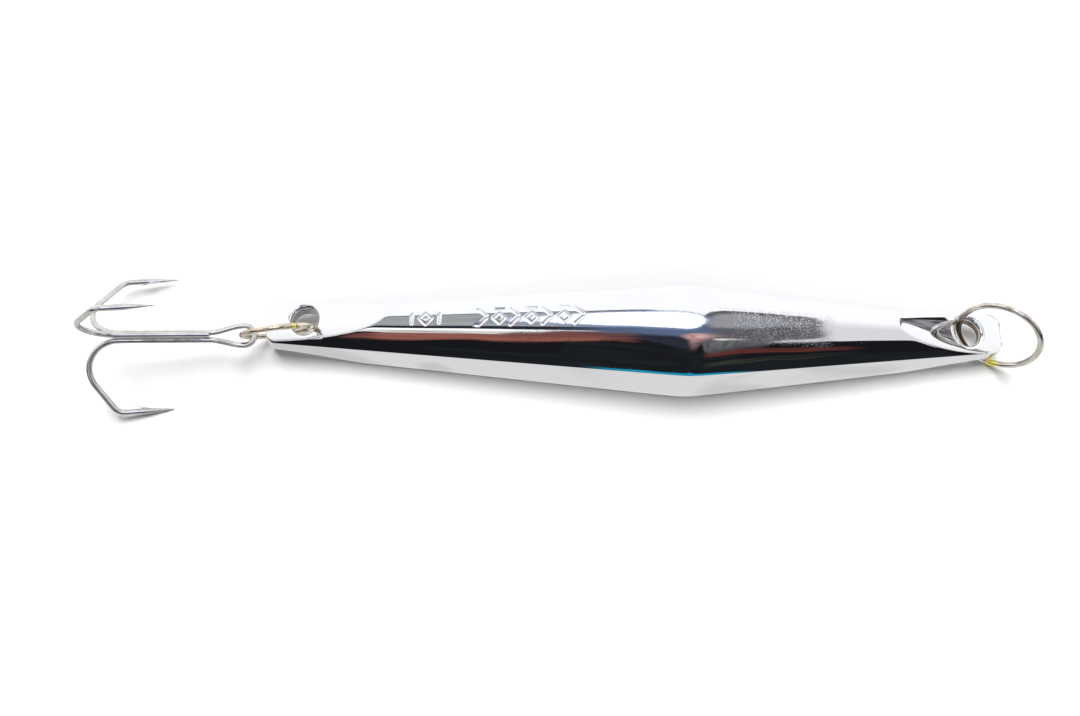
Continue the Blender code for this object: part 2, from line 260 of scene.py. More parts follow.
def rounding(distance, radius):
    """How far a rounded edge of this radius pulls a face in at this distance from its end."""
    inside = np.clip(radius - distance, 0, radius)
    return radius - np.sqrt(np.maximum(radius**2 - inside**2, 0))


def half_width(x):
    return taper(x, RIDGE_HALF_WIDTH) - rounding(from_end(x), END_CORNER)


def belly_height(x):
    share = np.clip(from_end(x) / BELLY_SWEEP, 0, 1)
    return BELLY_LIFT * (1 - share**2) ** 1.5 + rounding(from_end(x), END_EDGE)


def end_top_height(x):
    distance = from_end(x)
    nose = x > WIDEST_X
    base, slope, curvature = (np.where(nose, END_TOP["nose"][k], END_TOP["tail"][k]) for k in range(3))
    return base + slope * distance + curvature * distance**2 - rounding(distance, END_EDGE)


def crest_rise(share):
    """Height above the ridge, over the half width: a round crest between two slightly crowned facets."""
    crest_slope = 1 - FACET_CROWN
    radius = FACET_SHARE * math.hypot(1, crest_slope) / crest_slope
    run = 1 - FACET_SHARE
    into = np.clip(1 - share, 0, run)
    facet = into * (1 + FACET_CROWN) - FACET_CROWN * into**2 / run
    drop = math.sqrt(radius**2 - FACET_SHARE**2)
    crest = run + np.sqrt(np.maximum(radius**2 - np.minimum(share, FACET_SHARE) ** 2, 0)) - drop
    return np.where(share > FACET_SHARE, facet, crest)


def polish_waves(x, y):
    """Slow unevenness of the polished faces: waves with turns along and across, a start and a share."""
    waves = sum(share * np.sin(x * along + y * across + start) for along, across, start, share in WAVES)
    return WAVE_HEIGHT * waves


def back_height(x, y):
    """Top of the body at a place, without its holes."""
    width = half_width(x)
    share = np.clip(np.abs(y) / width, 0, 1)
    softened = taper(x, RIDGE_HALF_WIDTH, CREST_ROUNDING) - taper(x, RIDGE_HALF_WIDTH)
    rise = taper(x, RIDGE_HEIGHT) + (width + CREST_SINK * softened * (1 - share)) * crest_rise(share)
    top = end_top_height(x) - END_CROWN * y**2
    height = (rise + top) / 2 - np.hypot((rise - top) / 2, CREST_BLEND / 2)
    fade = np.clip((1 - share) / WAVE_FADE, 0, 1)
    return height + fade * polish_waves(x, y) - ornament(x, y)


# ---- stamped ornament

STROKE = 0.23  # half width of a stamped stroke
STROKE_FLAT = 0.35  # a stroke keeps its full depth this far from its middle, over its half width
LOZENGE_STROKE = 0.8 * STROKE
BAR_STROKE = 0.7 * STROKE
STAMP_DEPTH = 0.13
STAMP_TAIL = (-35.6, -31.2)
STAMP_MIDDLE = (-24.2, -9.0)
STAMP_PITCH = 2.53
STAMP_Y = -0.85  # the stamps stand on the crest's near side
STAMP_RISE = 1.2
STAMP_MARGIN = (2, 3)  # no stroke reaches further past the bands' ends or from their middle line
TICK_SHORT = 0.5  # the ticks stop this far short of the band's edges
LONE_LOZENGE = (1.0, 0.9)  # half its length and half its width
RUN_LOZENGE = (0.95, 0.8)
RUN_LOZENGE_DROP = 0.2
DASH_HALF = 0.15
BAR_HALF = 0.85
CHEVRON_BACK = 0.75
CHEVRON_TIP = 0.45
CHEVRON_GAP = 0.25  # half the opening left between a chevron's two strokes


def eased(share):
    """A soft start and a soft stop on the way from 0 to 1."""
    return share * share * (3 - 2 * share)


def stroke(x, y, start, end, half=STROKE):
    """Depth of a stamped stroke, from 0 beside it to 1 along its middle."""
    ax, ay = start
    bx, by = end[0] - ax, end[1] - ay
    along = np.clip(((x - ax) * bx + (y - ay) * by) / (bx * bx + by * by), 0, 1)
    distance = np.hypot(x - ax - along * bx, y - ay - along * by) / half
    return eased(np.clip(1 + STROKE_FLAT - distance, 0, 1))


def lozenge(x, y, centre, reach, rise):
    """Depth of a stamped lozenge outline round a raised middle."""
    cx, cy = centre
    corners = [(cx - reach, cy), (cx, cy + rise), (cx + reach, cy), (cx, cy - rise)]
    sides = zip(corners, corners[1:] + corners[:1])
    return np.maximum.reduce([stroke(x, y, a, b, LOZENGE_STROKE) for a, b in sides])


def ornament(x, y):
    """Two bands of plain stamped work: a lozenge between ticks, and chevrons and lozenges by turns."""
    along, across = STAMP_MARGIN
    near = (x > STAMP_TAIL[0] - along) & (x < STAMP_MIDDLE[1] + along) & (np.abs(y - STAMP_Y) < across)
    depth = np.zeros(np.broadcast(x, y).shape)
    if not np.any(near):
        return depth
    px, py = np.broadcast_to(x, depth.shape)[near], np.broadcast_to(y, depth.shape)[near]
    low, high = STAMP_Y - STAMP_RISE, STAMP_Y + STAMP_RISE
    middle = sum(STAMP_TAIL) / 2
    marks = [lozenge(px, py, (middle, STAMP_Y), *LONE_LOZENGE)]
    marks += [stroke(px, py, (tick, low + TICK_SHORT), (tick, high - TICK_SHORT)) for tick in STAMP_TAIL]
    marks.append(stroke(px, py, (middle - DASH_HALF, STAMP_Y), (middle + DASH_HALF, STAMP_Y)))
    count = round((STAMP_MIDDLE[1] - STAMP_MIDDLE[0]) / STAMP_PITCH)
    for k in range(count + 1):
        at = STAMP_MIDDLE[0] + k * STAMP_PITCH
        if k % 2:
            marks.append(lozenge(px, py, (at, STAMP_Y - RUN_LOZENGE_DROP), *RUN_LOZENGE))
            marks.append(stroke(px, py, (at - BAR_HALF, high), (at + BAR_HALF, high), BAR_STROKE))
            continue
        for edge, gap in ((low, -CHEVRON_GAP), (high, CHEVRON_GAP)):
            marks.append(stroke(px, py, (at - CHEVRON_BACK, edge), (at + CHEVRON_TIP, STAMP_Y + gap)))
    depth[near] = STAMP_DEPTH * np.maximum.reduce(marks)
    return depth


# ---- body mesh

END_RUN = 21.0  # the sections stand close together this far from each end
END_STEP = 0.18
BODY_STEP = 0.5
TURN_REACH = 5  # and this far from the widest place
TURN_STEP = 0.2
STAMP_REACH = 0.8  # and this far past the stamped bands
STAMP_STEP = 0.1
LEAST_STEP = 0.012
STAMPED_SHARES = (-0.62, 0.06)  # the columns stand close together between these shares
STAMPED_COLUMNS = 55
OUTER_COLUMNS = 16


def evenly(start, end, step):
    return np.linspace(start, end, max(2, round((end - start) / step) + 1))


def station_places():
    """x of every section: close together at the ends and under the ornament."""
    quarter = np.radians(np.linspace(0, 90, 13))
    corner = np.concatenate([END_CORNER * (1 - np.sin(quarter)), END_EDGE * (1 - np.sin(quarter[::2]))])
    ends = HALF_LENGTH - np.concatenate([corner, evenly(END_CORNER, END_RUN, END_STEP)])
    middle = evenly(-ends.min(), ends.min(), BODY_STEP)
    bands = (STAMP_TAIL, STAMP_MIDDLE)
    stamps = [evenly(low - STAMP_REACH, high + STAMP_REACH, STAMP_STEP) for low, high in bands]
    turn = evenly(WIDEST_X - TURN_REACH, WIDEST_X + TURN_REACH, TURN_STEP)
    places = np.unique(np.round(np.concatenate([-ends, ends, middle, turn, *stamps]), 4))
    keep = np.concatenate([[True], np.diff(places) > LEAST_STEP])
    return places[keep]


def column_shares():
    """Where the columns of the back stand across its width, closer together over the ornament."""
    low, high = STAMPED_SHARES
    stamped = np.linspace(low, high, STAMPED_COLUMNS)
    outer = np.linspace(-1, low, OUTER_COLUMNS)[:-1]
    rest = np.linspace(high, 1, TOP_COLUMNS - len(stamped) - len(outer) + 1)[1:]
    return np.concatenate([outer, stamped, rest])


def arc_between(corner, before, after, radius, steps):
    """The round edge that replaces a section's corner, given the unit directions away from it."""
    half_turn = np.arccos(np.clip(before[0] * after[0] + before[1] * after[1], -1, 1)) / 2
    back_off = radius / np.tan(half_turn)
    start, end = (tuple(c + d * back_off for c, d in zip(corner, way)) for way in (before, after))
    points = []
    for share in np.linspace(0, 1, steps):
        # A quadratic curve between the two tangents stays within 0.06 mm of the true arc.
        a, b, c = (1 - share) ** 2, 2 * share * (1 - share), share**2
        points.append(tuple(a * p + b * q + c * r for p, q, r in zip(start, corner, end)))
    return points


def section_loops(places):
    """Every section as a closed loop: back, far wall, belly, near wall."""
    width = half_width(places)
    ridge = taper(places, RIDGE_HEIGHT)
    belly = belly_height(places)
    lean = math.tan(WALL_DRAFT)
    foot = width + (ridge - belly) * lean
    facet = (-math.cos(FACET_SLOPE), math.sin(FACET_SLOPE))
    down = (math.sin(WALL_DRAFT), -math.cos(WALL_DRAFT))
    up = (-down[0], -down[1])
    one = np.ones_like(places)
    ridge_arc = arc_between((width, ridge), facet, down, RIDGE_EDGE, EDGE_STEPS)
    foot_arc = arc_between((foot, belly), up, (-1.0, 0.0), BELLY_EDGE, EDGE_STEPS)
    side = list(ridge_arc)
    for share in np.linspace(0, 1, WALL_STEPS)[1:-1]:
        start, end = ridge_arc[-1], foot_arc[0]
        side.append((start[0] + (end[0] - start[0]) * share, start[1] + (end[1] - start[1]) * share))
    side += foot_arc
    back_half = side[0][0]
    rows = [(y, back_height(places, y)) for y in (back_half * share for share in column_shares()[1:-1])]
    belly_half = foot_arc[-1][0]
    under = [(belly_half * share, belly) for share in np.linspace(1, -1, BELLY_COLUMNS)[1:-1]]
    loop = rows + side + under + [(-y, z) for y, z in side[::-1]]
    stack = np.stack([np.stack([places, y * one, z * one], -1) for y, z in loop], 1)
    return stack, len(rows), len(side)


FLAT_RINGS = (0.86, 0.6, 0.35, 0.15)  # rings round a mouth, as shares of the way out to the cut
WALL_RINGS = (0.25, 0.5, 0.75)
BELLY_RING = 0.6
TOP_RIM_STEPS = 9
BOTTOM_RIM_STEPS = 7
CUT_MARGIN = 0.4
CUT_SHARE = 0.80  # the cut round a hole goes this far across the back and the belly


def hole_loops(hole_x, outline_top, outline_bottom):
    """Rings of points from the cut in the back, down through the hole, to the cut in the belly."""
    turns = np.linspace(0, 2 * math.pi, HOLE_SIDES, endpoint=False)
    direction = np.stack([np.cos(turns), np.sin(turns)], -1)

    def reach(outline):
        offset = outline[:, :2] - (hole_x, 0)
        angle = np.arctan2(offset[:, 1], offset[:, 0]) % (2 * math.pi)
        order = np.argsort(angle)
        return np.interp(turns, angle[order], np.hypot(*offset.T)[order], period=2 * math.pi)

    def ring(radius, height):
        place = direction * np.reshape(radius, (-1, 1)) + (hole_x, 0)
        return np.column_stack([place, height(place[:, 0], place[:, 1]) if callable(height) else height])

    def belly(x, y):
        return belly_height(x)

    def rim_rings(rim, mouth, into, quarter):
        """A rounded rim, whose angle is 0 at the mouth and a quarter turn at the wall."""
        for angle in np.radians(quarter):
            yield ring(HOLE_RADIUS + rim * (1 - math.sin(angle)), mouth + into * rim * (1 - math.cos(angle)))

    top_circle, bottom_circle = HOLE_RADIUS + TOP_RIM, HOLE_RADIUS + BOTTOM_RIM
    top_run, bottom_run = reach(outline_top) - top_circle, reach(outline_bottom) - bottom_circle
    upper = ring(top_circle, back_height)[:, 2]
    lower = ring(bottom_circle, belly)[:, 2]
    rings = [ring(top_circle + top_run * share, back_height) for share in FLAT_RINGS]
    rings += rim_rings(TOP_RIM, upper, -1, np.linspace(0, 90, TOP_RIM_STEPS))
    first_wall = len(rings)
    depth = lower + BOTTOM_RIM - upper + TOP_RIM
    rings += [ring(HOLE_RADIUS, upper - TOP_RIM + depth * share) for share in WALL_RINGS]
    last_wall = len(rings)
    rings += rim_rings(BOTTOM_RIM, lower, 1, np.linspace(90, 0, BOTTOM_RIM_STEPS))
    rings.append(ring(bottom_circle + bottom_run * BELLY_RING, belly))
    return rings, range(first_wall - 1, last_wall)


def zipper(outer, inner, places, centre):
    """Triangles between two loops round the same centre that have different numbers of points."""

    def sorted_loop(loop):
        angle = np.arctan2(places[loop, 1], places[loop, 0] - centre) % (2 * math.pi)
        order = np.argsort(angle)
        return [loop[i] for i in order], list(angle[order])

    (a, angle_a), (b, angle_b) = sorted_loop(outer), sorted_loop(inner)
    angle_a.append(angle_a[0] + 2 * math.pi)
    angle_b.append(angle_b[0] + 2 * math.pi)
    faces, i, j = [], 0, 0
    while i < len(a) or j < len(b):
        if j == len(b) or (i < len(a) and angle_a[i + 1] <= angle_b[j + 1]):
            faces.append((a[i], a[(i + 1) % len(a)], b[j % len(b)]))
            i += 1
        else:
            faces.append((a[i % len(a)], b[(j + 1) % len(b)], b[j]))
            j += 1
    return faces


def body_mesh():
    """Points, faces and, for every face, 1 on the bare walls of the holes, which carry painted shade, and 0
    on the plating.
    """
    places = station_places()
    grid, rows, side = section_loops(places)
    count, around = grid.shape[:2]
    points = [grid.reshape(-1, 3)]
    index = np.arange(count * around).reshape(count, around)
    cut = np.zeros((count - 1, around), bool)
    faces, bare = [], []
    columns = column_shares()[1:-1]
    belly_columns = np.linspace(1, -1, BELLY_COLUMNS)[1:-1]
    total = count * around
    for hole_x in (TAIL_HOLE_X, NOSE_HOLE_X):
        reach = HOLE_RADIUS + BOTTOM_RIM + CUT_MARGIN
        first = np.searchsorted(places, hole_x - reach)
        last = np.searchsorted(places, hole_x + reach)
        near = np.flatnonzero(np.abs(columns) <= CUT_SHARE)
        flat = np.flatnonzero(np.abs(belly_columns) <= CUT_SHARE) + rows + side
        loops = []
        for a, b in ((near[0], near[-1]), (flat[0], flat[-1])):
            cut[first:last, a:b] = True
            edge = [index[first, k] for k in range(a, b)] + [index[k, b] for k in range(first, last)]
            edge += [index[last, k] for k in range(b, a, -1)] + [index[k, a] for k in range(last, first, -1)]
            loops.append(edge)
        rings, wall = hole_loops(hole_x, points[0][loops[0]], points[0][loops[1]])
        starts = [total + HOLE_SIDES * k for k in range(len(rings))]
        total += HOLE_SIDES * len(rings)
        points += rings
        every = np.concatenate(points)
        for k, (upper, lower) in enumerate(zip(starts, starts[1:])):
            faces += band(upper, lower, HOLE_SIDES)
            bare += [int(k in wall)] * HOLE_SIDES
        for edge, start in ((loops[0], starts[0]), (loops[1], starts[-1])):
            bridge = zipper([int(k) for k in edge], list(range(start, start + HOLE_SIDES)), every, hole_x)
            faces += bridge
            bare += [0] * len(bridge)
    for i in range(count - 1):
        for k in range(around):
            if not cut[i, k]:
                j = (k + 1) % around
                faces.append((index[i, k], index[i, j], index[i + 1, j], index[i + 1, k]))
                bare.append(0)
    for station in (0, count - 1):
        middle = grid[station].mean(0)
        points.append(middle[None])
        for k in range(around):
            faces.append((index[station, k], index[station, (k + 1) % around], total))
            bare.append(0)
        total += 1
    return np.concatenate(points), [tuple(int(v) for v in face) for face in faces], bare


# ---- body finish

CREST_WEAR = (-2.1, 2.7, 1.9)  # a patch's middle, and how far from it the wear ends and is full
NOSE_WEAR = (22.5, 9.0, 6.5)
MIDDLE_WEAR = (-3.0, 22.0, 14.0)
HAIRLINES = (500, 9000, 9000)  # hairlines to the metre along each axis
CROSSING_LINES = (900, 7000, 7000)


def patch(nodes, place, middle, outer, inner):
    """1 inside a stretch of one axis, given in millimetres, and 0 outside it."""
    return nodes.ramp(nodes.away(place, middle * MM), outer * MM, inner * MM)


def chrome_finish():
    """Bright plating: hairlines all over, and pin pricks where the nose half of the crest is worn."""
    nodes = Nodes("chrome_plate_look")
    plate, pale_plate, worn_plate = (0.655, 0.665, 0.68), (0.70, 0.70, 0.705), (0.60, 0.60, 0.62)
    x, y, _ = nodes.axes()
    on_crest = patch(nodes, y, *CREST_WEAR)
    pricked = nodes.math("MULTIPLY", on_crest, patch(nodes, x, *NOSE_WEAR))
    rubbed = nodes.math("MULTIPLY", on_crest, patch(nodes, x, *MIDDLE_WEAR))
    haze = nodes.noise(0.12, detail=4)
    dulled = nodes.math("MULTIPLY", pricked, nodes.ramp(nodes.noise(0.5, detail=4, rough=0.6), 0.4, 0.6))
    polish = nodes.ramp(haze, 0.3, 0.8, 0.012, 0.035)
    nodes.set(
        base_color=nodes.mix(dulled, nodes.mix(haze, plate, pale_plate), worn_plate),
        metallic=1.0,
        roughness=nodes.math("ADD", polish, nodes.math("MULTIPLY", pricked, 0.03)),
    )
    lines = nodes.ramp(nodes.stretched(HAIRLINES, 2, turn=(0, 0, 0.12)), 0.70, 0.78)
    crossing = nodes.ramp(nodes.stretched(CROSSING_LINES, 2, turn=(0, 0, -0.5)), 0.73, 0.80)
    pricks = nodes.ramp(nodes.noise(5.0, detail=2, rough=0.6), 0.58, 0.67)
    grain = nodes.noise(2.4, detail=4, rough=0.65)
    nodes.bump(nodes.math("MAXIMUM", lines, crossing), 0.002, 0.25)
    nodes.bump(nodes.math("MULTIPLY", pricks, pricked), 0.012, 0.6)
    nodes.bump(nodes.math("MULTIPLY", grain, rubbed), 0.008, 0.5)
    return nodes.material


def shaded_hole_wall_finish():
    """The metal inside the holes, darkened as painted shade in their recesses: grey at the tail, browner at
    the nose.
    """
    nodes = Nodes("shaded_hole_wall_look")
    x, _, _ = nodes.axes()
    wall_mottle = nodes.noise(0.9, detail=5, rough=0.65)
    mottle_share = nodes.ramp(wall_mottle, 0.35, 0.7)
    # Both tones are dark as painted shade inside the holes; the mottle only varies them at random.
    grey = nodes.mix(mottle_share, (0.26, 0.25, 0.25), (0.14, 0.13, 0.125))
    brown = nodes.mix(mottle_share, (0.17, 0.125, 0.095), (0.085, 0.06, 0.045))
    nodes.set(
        base_color=nodes.mix(nodes.ramp(x, -0.01, 0.01), grey, brown),
        metallic=1.0,
        roughness=nodes.ramp(wall_mottle, 0.2, 0.8, 0.28, 0.55),
    )
    nodes.bump(nodes.noise(2.5, detail=4), 0.05, 0.8)
    return nodes.material


def make_body():
    points, faces, bare = body_mesh()
    # The hole walls get a finish darkened as painted shade.
    body = mesh_object("polished_body", points, faces, [chrome_finish(), shaded_hole_wall_finish()], bare)
    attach(body, "jig_body")
    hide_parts("jig_body")


# ---- wire

FIRST_SIDE = (0.31, 0.22, 0.92)  # no wire starts out in this direction
RING_STEPS = 260
RING_SIDES = 28
RING_FIT = 0.998  # the drawn wire's radius over the CAD wire's
JOINT_GAP = 0.10
JOINT_ENDS = np.array([0.80, 0.92, 0.97, 0.99])  # the cut ends are rounded off to these shares
WIRE_ROUGHNESS = (0.08, 0.26)


def sweep(path, radii, sides):
    """Points, faces and uvs of a round wire; u runs along the wire and v round it."""
    path = np.asarray(path, float)
    count = len(path)
    tangents = np.gradient(path, axis=0)
    tangents /= np.linalg.norm(tangents, axis=1, keepdims=True)
    side = np.cross(tangents[0], FIRST_SIDE)
    turns = np.linspace(0, 2 * math.pi, sides, endpoint=False)
    points = []
    for place, tangent, radius in zip(path, tangents, radii):
        side = side - tangent * side.dot(tangent)
        side /= np.linalg.norm(side)
        across = np.cross(tangent, side)
        points += [place + (side * math.cos(t) + across * math.sin(t)) * radius for t in turns]
    faces, uvs = [], []
    for i in range(count - 1):
        faces += band(i * sides, (i + 1) * sides, sides)
        for k in range(sides):
            u0, u1, v0, v1 = i / count, (i + 1) / count, k / sides, (k + 1) / sides
            uvs.append([(u0, v0), (u0, v1), (u1, v1), (u1, v0)])
    for end, order in ((0, -1), (count - 1, 1)):
        faces.append(tuple(end * sides + k for k in range(sides))[::order])
        uvs.append([(end / count, 0.0)] * sides)
    return points, faces, uvs


def ring_of(node):
    """Centre, two directions in the plane, ring radius and wire radius of a CAD ring."""
    vertices = np.array([vertex.co for vertex in frame["nodes"][node].data.vertices]) / MM
    centre = vertices.mean(0)
    normal = np.linalg.svd(vertices - centre, full_matrices=False)[2][2]
    level = np.cross(normal, (0, 0, 1))
    level /= np.linalg.norm(level)
    level *= math.copysign(1, level[0])
    rising = np.cross(normal, level)
    rising *= math.copysign(1, rising[2])
    out = np.linalg.norm(vertices - centre, axis=1)
    return centre, level, rising, (out.max() + out.min()) / 2, (out.max() - out.min()) / 2


def worn_wire_finish(name, bright, dull, brass, reach):
    """Old plated wire: streaks of tarnish along it, and bare brass past the joint, where u starts."""
    nodes = Nodes(name)
    ragged = nodes.ramp(nodes.noise(0.8, detail=4), 0.2, 0.8, -0.03, 0.03)
    past_joint = nodes.math("ADD", nodes.axes(nodes.uv)[0], ragged)
    streaks = nodes.noise(0.45, detail=4, rough=0.65)
    tarnished = nodes.mix(nodes.ramp(streaks, 0.38, 0.66), bright, dull)
    nodes.set(
        base_color=nodes.mix(nodes.ramp(past_joint, reach, reach * 0.6), tarnished, brass),
        metallic=1.0,
        roughness=nodes.ramp(streaks, 0.3, 0.8, *WIRE_ROUGHNESS),
    )
    nodes.bump(nodes.noise(2.4, detail=4), 0.008, 0.5)
    nodes.bump(nodes.stretched((30.0, 2.2, 1.0), 3, source=nodes.uv), 0.006, 0.4)
    return nodes.material


def make_ring(name, node, body, finish, joint_turn):
    """A ring of round wire whose two ends meet in a thin butt joint."""
    centre, level, rising, radius, wire = ring_of(node)
    gap = JOINT_GAP / radius
    turns = np.linspace(joint_turn + gap / 2, joint_turn + 2 * math.pi - gap / 2, RING_STEPS)
    path = [centre + (level * math.cos(t) + rising * math.sin(t)) * radius for t in turns]
    radii = np.full(RING_STEPS, wire * RING_FIT)
    ends = len(JOINT_ENDS)
    radii[:ends] = wire * JOINT_ENDS
    radii[-ends:] = radii[:ends][::-1]
    points, faces, uvs = sweep(path, radii, RING_SIDES)
    ring = mesh_object(name, points, faces, [finish], uvs=uvs)
    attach(ring, body)
    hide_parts(node)


def make_rings():
    nickel = worn_wire_finish(
        "nickel_wire_look", (0.62, 0.60, 0.57), (0.45, 0.40, 0.34), brass=(0.74, 0.63, 0.12), reach=0.05
    )
    pale_brass = worn_wire_finish(
        "pale_brass_wire_look", (0.66, 0.60, 0.49), (0.44, 0.36, 0.27), brass=(0.66, 0.58, 0.20), reach=0.03
    )
    make_ring("line_ring_wire", "line_ring", "line_ring", nickel, math.radians(-78))
    make_ring("hook_ring_wire", "hook_ring", "hook_ring", pale_brass, math.radians(48))


# ---- treble hook

HOOK_WIRE = 0.475
SHANK_OFFSET = 1.2 / math.sqrt(3)  # each shank wire stands this far from the hook's axis
EYE_HALF_WIDTH = 1.65
EYE_LENGTH = 7.2
HOOK_BACK = -25.6
POINT_END = -13.0
GAPE = 12.9
BIG_BEND = 4.8
SMALL_BEND = 2.3
BEND_LEAN = math.radians(57)
POINT_SWAY = 0.75
POINT_TAPER = 4.6
POINT_RADIUS = 0.035
BARB_START = 0.9  # the barb's root is this far past the start of the point's taper
BARB_LENGTH = 2.5
BARB_BURIED = 0.7
BARB_RISE = 0.72
BARB_ROOT = 0.30  # thickness and half width of its root
BARB_KEEL = 0.3  # its underside's width, over its top's
BARB_STEPS = 9
BRAZE_START = -7.6
BRAZE_END = -18.0
BRAZE_RADIUS = 0.80
BRAZE_CLOSING = 0.9
BRAZE_TIP = 0.35  # radius at both ends, over the radius between them
BRAZE_LUMPS = ((0.035, 2.3, 0), (0.02, 5.1, 1))  # depth, turn to the millimetre and start of each wave
BRAZE_WAIST = 0.08  # the braze is thinner by this over each wire
BRAZE_SIDES = 60
BRAZE_STEPS = 90
ARM_STEP = 0.14
ARM_SIDES = 22
SINGLE_OVERRUN = 0.6
HOOK_BOW = (-61.5, -2.55, 4.72)
HOOK_YAW = math.radians(4.7)
HOOK_PITCH = math.radians(9.5)
HOOK_ROLL = math.radians(2.2)
FRONT, BACK, TOP = math.radians(120), math.radians(240), 0.0


def hook_places(points):
    """Points given along the hook's own shank, in the frame's millimetres."""
    turn = Matrix.Rotation(HOOK_YAW, 3, "Z") @ Matrix.Rotation(HOOK_PITCH, 3, "Y")
    turn = turn @ Matrix.Rotation(HOOK_ROLL, 3, "X")
    return np.asarray(points) @ np.array(turn).T + HOOK_BOW


def arc(centre, radius, start, end, steps=28):
    angles = np.linspace(start, end, steps)
    return [(centre[0] + radius * math.cos(t), centre[1] + radius * math.sin(t)) for t in angles]


def arm_outline():
    """One arm as (along the shank, out from it): shank, big bend, slope, small bend, point."""
    big_centre = (HOOK_BACK + BIG_BEND, SHANK_OFFSET + BIG_BEND)
    points = arc(big_centre, BIG_BEND, -math.pi / 2, -math.pi / 2 - (math.pi - BEND_LEAN), 40)
    small_rise = SMALL_BEND * (1 - math.cos(BEND_LEAN))
    last = points[-1]
    run = (GAPE - small_rise - last[1]) / math.sin(BEND_LEAN)
    corner = (last[0] + run * math.cos(BEND_LEAN), last[1] + run * math.sin(BEND_LEAN))
    lean_x, lean_y = SMALL_BEND * math.sin(BEND_LEAN), SMALL_BEND * math.cos(BEND_LEAN)
    small_centre = (corner[0] + lean_x, corner[1] - lean_y)
    points += arc(small_centre, SMALL_BEND, math.pi / 2 + BEND_LEAN, math.pi / 2)
    points.append((POINT_END, GAPE))
    return points


def arm_point(along, out, turn):
    return np.array((along, -math.sin(turn) * out, math.cos(turn) * out))


def sway(along, out):
    """How far a place on an arm leans to the side: nothing along the shank, most at the point."""
    rise = (out - SHANK_OFFSET) / (GAPE - SHANK_OFFSET)
    return np.array((0, POINT_SWAY * rise * (along - HOOK_BACK) / (POINT_END - HOOK_BACK), 0))


def respaced(path, step):
    """The same path with points this far apart."""
    path = np.asarray(path, float)
    length = np.concatenate([[0], np.cumsum(np.linalg.norm(np.diff(path, axis=0), axis=1))])
    even = np.linspace(0, length[-1], round(length[-1] / step) + 1)
    return np.column_stack([np.interp(even, length, path[:, k]) for k in range(3)]), even


def point_radius(distance):
    """Wire radius at this distance from a point's tip: a long taper with a slight belly."""
    share = np.clip(distance / POINT_TAPER, 0, 1)
    return POINT_RADIUS + (HOOK_WIRE - POINT_RADIUS) * np.minimum(1, 1.05 * share ** 0.82)


def eye_path():
    """The eye, from the near shank wire round the bow to the far one."""
    height = math.cos(FRONT) * SHANK_OFFSET
    half = math.sin(FRONT) * SHANK_OFFSET
    side = []
    for share in np.linspace(0, 1, 26)[:-1]:
        along = -EYE_LENGTH + (EYE_LENGTH - EYE_HALF_WIDTH) * share
        side.append((along, half + (EYE_HALF_WIDTH - half) * eased(share), height * (1 - eased(share))))
    quarter = math.pi / 2
    bow = [(x - EYE_HALF_WIDTH, -y, 0.0) for x, y in arc((0, 0), EYE_HALF_WIDTH, quarter, -quarter, 40)]
    return [(x, -y, z) for x, y, z in side] + bow + side[::-1]


def barb_mesh(turn):
    """A sliver lifted out of the inside of a point, thick at its root and curling off to an edge."""
    root = POINT_END - POINT_TAPER + BARB_START
    skin = GAPE - HOOK_WIRE * 0.8
    across = arm_point(0, 1, turn + math.pi / 2)
    sections = []
    for share in np.linspace(0, 1, BARB_STEPS):
        along = root + BARB_BURIED - (BARB_LENGTH + BARB_BURIED) * share
        lift = BARB_RISE * share**1.5
        thick = BARB_ROOT * (1 - share) ** 0.8 + 0.015
        wide = across * (BARB_ROOT * (1 - share) ** 0.6 + 0.02)
        low = arm_point(along, skin - lift, turn) + sway(along, GAPE)
        high = arm_point(along, skin - lift + thick, turn) + sway(along, GAPE)
        sections.append([low - wide * BARB_KEEL, low + wide * BARB_KEEL, high + wide, high - wide])
    points = [point for section in sections for point in section]
    faces = [(0, 1, 2, 3), tuple(len(points) - k for k in range(1, 5))]
    for i in range(len(sections) - 1):
        faces += band(i * 4, (i + 1) * 4, 4)
    return points, faces


def unite(obj, helpers):
    """Unites the helpers into an object's mesh."""
    for helper in helpers:
        union = obj.modifiers.new(helper.name, "BOOLEAN")
        union.operation = "UNION"
        union.object = helper
    graph = bpy.context.evaluated_depsgraph_get()
    mesh = bpy.data.meshes.new_from_object(obj.evaluated_get(graph))
    obj.modifiers.clear()
    obj.data = mesh
    for helper in helpers:
        bpy.data.objects.remove(helper, do_unlink=True)


def hook_finish():
    """Tinned steel wire: satin, streaked along the wire, greyer in patches."""
    nodes = Nodes("hook_steel_look")
    patches = nodes.noise(0.30, detail=5, rough=0.6)
    fine = nodes.noise(2.0, detail=4, rough=0.7)
    colour = nodes.mix(nodes.ramp(patches, 0.35, 0.7), (0.56, 0.55, 0.535), (0.42, 0.41, 0.40))
    nodes.set(
        base_color=nodes.mix(nodes.ramp(fine, 0.62, 0.78), colour, (0.22, 0.21, 0.21)),
        metallic=1.0,
        roughness=nodes.ramp(fine, 0.2, 0.8, 0.13, 0.22),
    )
    nodes.bump(nodes.stretched((60.0, 5.0, 1.0), 3, source=nodes.uv), 0.006, 0.5)
    nodes.bump(fine, 0.006, 0.4)
    return nodes.material


def braze_finish():
    """Silver braze: duller and lumpier than the wires, with dark flux left in it."""
    nodes = Nodes("braze_look")
    lumps = nodes.noise(1.3, detail=5, rough=0.6)
    nodes.set(
        base_color=nodes.mix(nodes.ramp(lumps, 0.35, 0.65), (0.36, 0.355, 0.35), (0.52, 0.51, 0.50)),
        metallic=1.0,
        roughness=nodes.ramp(lumps, 0.3, 0.7, 0.50, 0.36),
    )
    nodes.bump(lumps, 0.10, 0.8)
    return nodes.material


